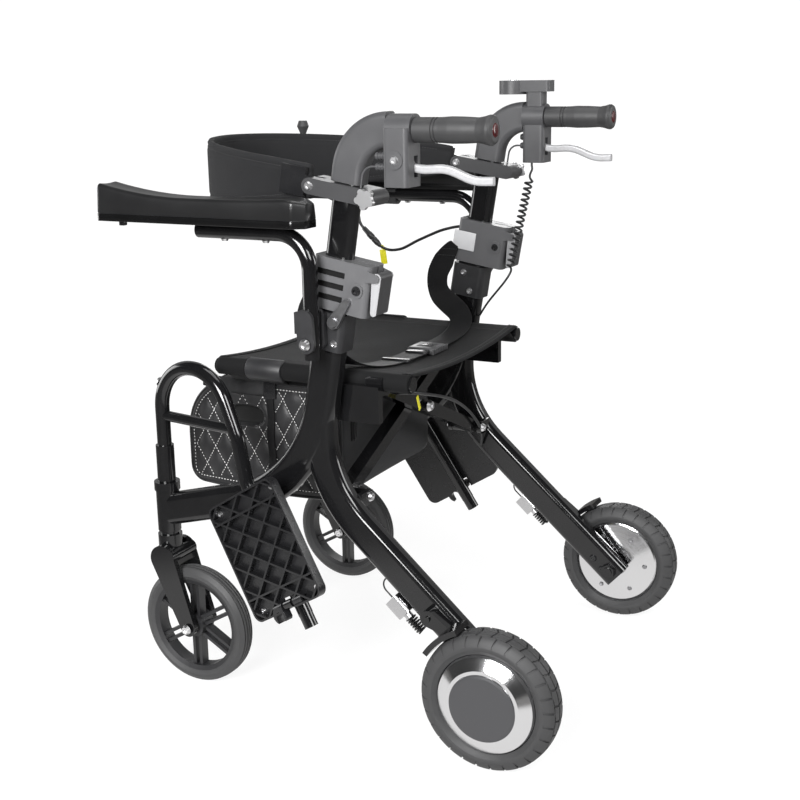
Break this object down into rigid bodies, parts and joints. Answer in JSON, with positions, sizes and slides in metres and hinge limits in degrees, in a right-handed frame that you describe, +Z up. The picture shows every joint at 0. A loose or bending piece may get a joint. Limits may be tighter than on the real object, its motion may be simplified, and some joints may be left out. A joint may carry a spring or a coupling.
{
  "type": "rollator transport chair",
  "caption": "Powered rollator that doubles as a transport chair: bent side frames, hub-motor rear wheels, casters, seat, U-shaped backrest, swing-away footrests and a folding cross-brace.",
  "frame": {"origin": "on the floor, under the middle of the chair", "axes": "+Z up; +X to the user's left; -Y forward, towards the casters"},
  "size_m": [0.652, 0.7552, 0.9205],
  "materials": {
    "black_frame": "gloss",
    "dark_plastic": "matte",
    "grey_plastic": "satin",
    "silver": "satin",
    "rubber": "matte",
    "tyre": "matte",
    "soft_pad": "satin",
    "fabric": "matte"
  },
  "bodies": {
    "frame_left": {"side_frame_left": "black_frame", "post_clamp_left": "grey_plastic", "armrest_bracket_left": "dark_plastic", "brake_adjuster_left": "silver"},
    "frame_right": {"side_frame_right": "black_frame", "post_clamp_right": "grey_plastic", "armrest_bracket_right": "dark_plastic", "brake_adjuster_right": "silver", "joystick_cable": "rubber"},
    "brace_a": {"brace_a": "black_frame"},
    "brace_b": {"brace_b": "black_frame"},
    "centre": {"seat_sling": "fabric", "seat_belt": "fabric", "bag": "fabric", "battery": "dark_plastic"},
    "handle_left": {"handle_post_left": "black_frame", "handle_elbow_left": "dark_plastic", "grip_left": "rubber", "brake_housing_left": "grey_plastic", "backrest_arm_left": "grey_plastic"},
    "handle_right": {"handle_post_right": "black_frame", "handle_elbow_right": "dark_plastic", "grip_right": "rubber", "brake_housing_right": "grey_plastic", "backrest_arm_right": "grey_plastic", "control_pod": "dark_plastic", "coil_cord": "rubber"},
    "backrest_left": {"backrest_plate_left": "dark_plastic", "backrest_band": "fabric"},
    "backrest_right": {"backrest_plate_right": "dark_plastic"},
    "armrest_left": {"armrest_tube_left": "black_frame", "armrest_pad_left": "soft_pad"},
    "armrest_right": {"armrest_tube_right": "black_frame", "armrest_pad_right": "soft_pad", "joystick_box": "dark_plastic"},
    "joystick_gimbal": {"joystick_gimbal": "silver"},
    "joystick_stick": {"joystick_stick": "rubber"},
    "control_button": {"control_button": "silver"},
    "clamp_lever_left": {"clamp_lever_left": "silver"},
    "armrest_lever_left": {"armrest_lever_left": "grey_plastic"},
    "brake_lever_left": {"brake_lever_left": "silver"},
    "brake_shoe_left": {"brake_shoe_left": "black_frame"},
    "hanger_left": {"footrest_hanger_left": "black_frame"},
    "footplate_left": {"footplate_left": "dark_plastic"},
    "caster_fork_left": {"caster_fork_left": "black_frame"},
    "caster_wheel_left": {"caster_rim_left": "dark_plastic", "caster_tyre_left": "tyre"},
    "rear_wheel_left": {"hub_motor_left": "silver", "rear_tyre_left": "tyre"},
    "clamp_lever_right": {"clamp_lever_right": "silver"},
    "armrest_lever_right": {"armrest_lever_right": "grey_plastic"},
    "brake_lever_right": {"brake_lever_right": "silver"},
    "brake_shoe_right": {"brake_shoe_right": "black_frame"},
    "hanger_right": {"footrest_hanger_right": "black_frame"},
    "footplate_right": {"footplate_right": "dark_plastic"},
    "caster_fork_right": {"caster_fork_right": "black_frame"},
    "caster_wheel_right": {"caster_rim_right": "dark_plastic", "caster_tyre_right": "tyre"},
    "rear_wheel_right": {"hub_motor_right": "silver", "rear_tyre_right": "tyre"}
  },
  "joints": [
    {"name": "fold", "type": "hinge", "parent": "frame_left", "child": "brace_a", "pos_m": [0.205, 0.02055, 0.335], "axis": [0, 1, 0], "range_deg": [0, 46], "deforming": ["seat_sling", "seat_belt", "bag", "backrest_band"]},
    {"name": "fold_cross", "type": "hinge", "parent": "brace_a", "child": "brace_b", "pos_m": [0, 0.02055, 0.42293], "axis": [0, 1, 0], "range_deg": [-92, 0]},
    {"name": "fold_far", "type": "hinge", "parent": "brace_b", "child": "frame_right", "pos_m": [-0.205, 0.02055, 0.335], "axis": [0, 1, 0], "range_deg": [0, 46]},
    {"name": "fold_centre", "type": "hinge", "parent": "brace_a", "child": "centre", "pos_m": [0, 0.02055, 0.42293], "axis": [0, 1, 0], "range_deg": [-46, 0]},
    {"name": "handle_left_slide", "type": "slide", "parent": "frame_left", "child": "handle_left", "axis": [0, 0.165, 0.9863], "range_m": [-0.06, 0.06]},
    {"name": "handle_right_slide", "type": "slide", "parent": "frame_right", "child": "handle_right", "axis": [0, 0.165, 0.9863], "range_m": [-0.06, 0.06], "deforming": ["coil_cord"]},
    {"name": "backrest_left_tilt", "type": "hinge", "parent": "handle_left", "child": "backrest_left", "pos_m": [0.24, -0.00292, 0.78711], "axis": [1, 0, 0], "range_deg": [-60, 35]},
    {"name": "armrest_left_flip", "type": "hinge", "parent": "frame_left", "child": "armrest_left", "pos_m": [0.284, 0.00845, 0.576], "axis": [1, 0, 0], "range_deg": [-90, 0]},
    {"name": "armrest_lever_left_turn", "type": "hinge", "parent": "frame_left", "child": "armrest_lever_left", "pos_m": [0.266, 0.03245, 0.602], "axis": [1, 0, 0], "range_deg": [-60, 0]},
    {"name": "clamp_lever_left_turn", "type": "hinge", "parent": "frame_left", "child": "clamp_lever_left", "pos_m": [0.24, 0.0963, 0.66506], "axis": [1, 0, 0], "range_deg": [0, 90]},
    {"name": "brake_lever_left_squeeze", "type": "hinge", "parent": "handle_left", "child": "brake_lever_left", "pos_m": [0.24, 0.13773, 0.814], "axis": [1, 0, 0], "range_deg": [0, 10], "stiffness_Nm_per_rad": 3, "springref_deg": -5.73},
    {"name": "brake_shoe_left_press", "type": "hinge", "parent": "frame_left", "child": "brake_shoe_left", "pos_m": [0.262, 0.17481, 0.19213], "axis": [1, 0, 0], "range_deg": [-2.4, 0]},
    {"name": "hanger_left_swing", "type": "hinge", "parent": "frame_left", "child": "hanger_left", "pos_m": [0.24, -0.29045, 0.34], "axis": [0, 0, 1], "range_deg": [-170, 0]},
    {"name": "footplate_left_fold", "type": "hinge", "parent": "hanger_left", "child": "footplate_left", "pos_m": [0.30621, -0.03011, 0.19142], "axis": [-0.1488, -0.8441, -0.515], "range_deg": [-90, 0]},
    {"name": "caster_left_swivel", "type": "hinge", "parent": "frame_left", "child": "caster_fork_left", "pos_m": [0.24, -0.29045, 0.25], "axis": [0, 0, 1], "continuous": true},
    {"name": "caster_left_roll", "type": "hinge", "parent": "caster_fork_left", "child": "caster_wheel_left", "pos_m": [0.24, -0.24445, 0.095], "axis": [1, 0, 0], "continuous": true},
    {"name": "rear_wheel_left_roll", "type": "hinge", "parent": "frame_left", "child": "rear_wheel_left", "pos_m": [0.288, 0.27755, 0.1], "axis": [1, 0, 0], "continuous": true},
    {"name": "backrest_right_tilt", "type": "hinge", "parent": "handle_right", "child": "backrest_right", "pos_m": [-0.24, -0.00292, 0.78711], "axis": [1, 0, 0], "range_deg": [-60, 35]},
    {"name": "armrest_right_flip", "type": "hinge", "parent": "frame_right", "child": "armrest_right", "pos_m": [-0.284, 0.00845, 0.576], "axis": [1, 0, 0], "range_deg": [-90, 0], "deforming": ["joystick_cable"]},
    {"name": "armrest_lever_right_turn", "type": "hinge", "parent": "frame_right", "child": "armrest_lever_right", "pos_m": [-0.266, 0.03245, 0.602], "axis": [1, 0, 0], "range_deg": [-60, 0]},
    {"name": "clamp_lever_right_turn", "type": "hinge", "parent": "frame_right", "child": "clamp_lever_right", "pos_m": [-0.24, 0.0963, 0.66506], "axis": [1, 0, 0], "range_deg": [0, 90]},
    {"name": "brake_lever_right_squeeze", "type": "hinge", "parent": "handle_right", "child": "brake_lever_right", "pos_m": [-0.24, 0.13773, 0.814], "axis": [1, 0, 0], "range_deg": [0, 10], "stiffness_Nm_per_rad": 3, "springref_deg": -5.73},
    {"name": "brake_shoe_right_press", "type": "hinge", "parent": "frame_right", "child": "brake_shoe_right", "pos_m": [-0.262, 0.17481, 0.19213], "axis": [1, 0, 0], "range_deg": [-2.4, 0]},
    {"name": "hanger_right_swing", "type": "hinge", "parent": "frame_right", "child": "hanger_right", "pos_m": [-0.24, -0.29045, 0.34], "axis": [0, 0, -1], "range_deg": [-170, 0]},
    {"name": "footplate_right_fold", "type": "hinge", "parent": "hanger_right", "child": "footplate_right", "pos_m": [-0.30621, -0.03011, 0.19142], "axis": [-0.1488, 0.8441, 0.515], "range_deg": [-90, 0]},
    {"name": "caster_right_swivel", "type": "hinge", "parent": "frame_right", "child": "caster_fork_right", "pos_m": [-0.24, -0.29045, 0.25], "axis": [0, 0, 1], "continuous": true},
    {"name": "caster_right_roll", "type": "hinge", "parent": "caster_fork_right", "child": "caster_wheel_right", "pos_m": [-0.24, -0.24445, 0.095], "axis": [1, 0, 0], "continuous": true},
    {"name": "rear_wheel_right_roll", "type": "hinge", "parent": "frame_right", "child": "rear_wheel_right", "pos_m": [-0.288, 0.27755, 0.1], "axis": [1, 0, 0], "continuous": true},
    {"name": "control_button_press", "type": "slide", "parent": "handle_right", "child": "control_button", "axis": [0, 0, -1], "range_m": [0, 0.002], "stiffness_N_per_m": 900, "springref_m": -0.0006},
    {"name": "joystick_side", "type": "hinge", "parent": "armrest_right", "child": "joystick_gimbal", "pos_m": [-0.3, -0.35055, 0.792], "axis": [0, 1, 0], "range_deg": [-18, 18], "stiffness_Nm_per_rad": 0.25},
    {"name": "joystick_fore", "type": "hinge", "parent": "joystick_gimbal", "child": "joystick_stick", "pos_m": [-0.3, -0.35055, 0.792], "axis": [1, 0, 0], "range_deg": [-18, 18], "stiffness_Nm_per_rad": 0.25}
  ],
  "couplings": [
    {"joint": "fold_cross", "follows": "fold", "ratio": -2},
    {"joint": "fold_far", "follows": "fold", "ratio": 1},
    {"joint": "fold_centre", "follows": "fold", "ratio": -1},
    {"joint": "handle_right_slide", "follows": "handle_left_slide", "ratio": 1},
    {"joint": "backrest_right_tilt", "follows": "backrest_left_tilt", "ratio": 1},
    {"joint": "brake_shoe_left_press", "follows": "brake_lever_left_squeeze", "ratio": -0.24},
    {"joint": "brake_shoe_right_press", "follows": "brake_lever_right_squeeze", "ratio": -0.24}
  ]
}
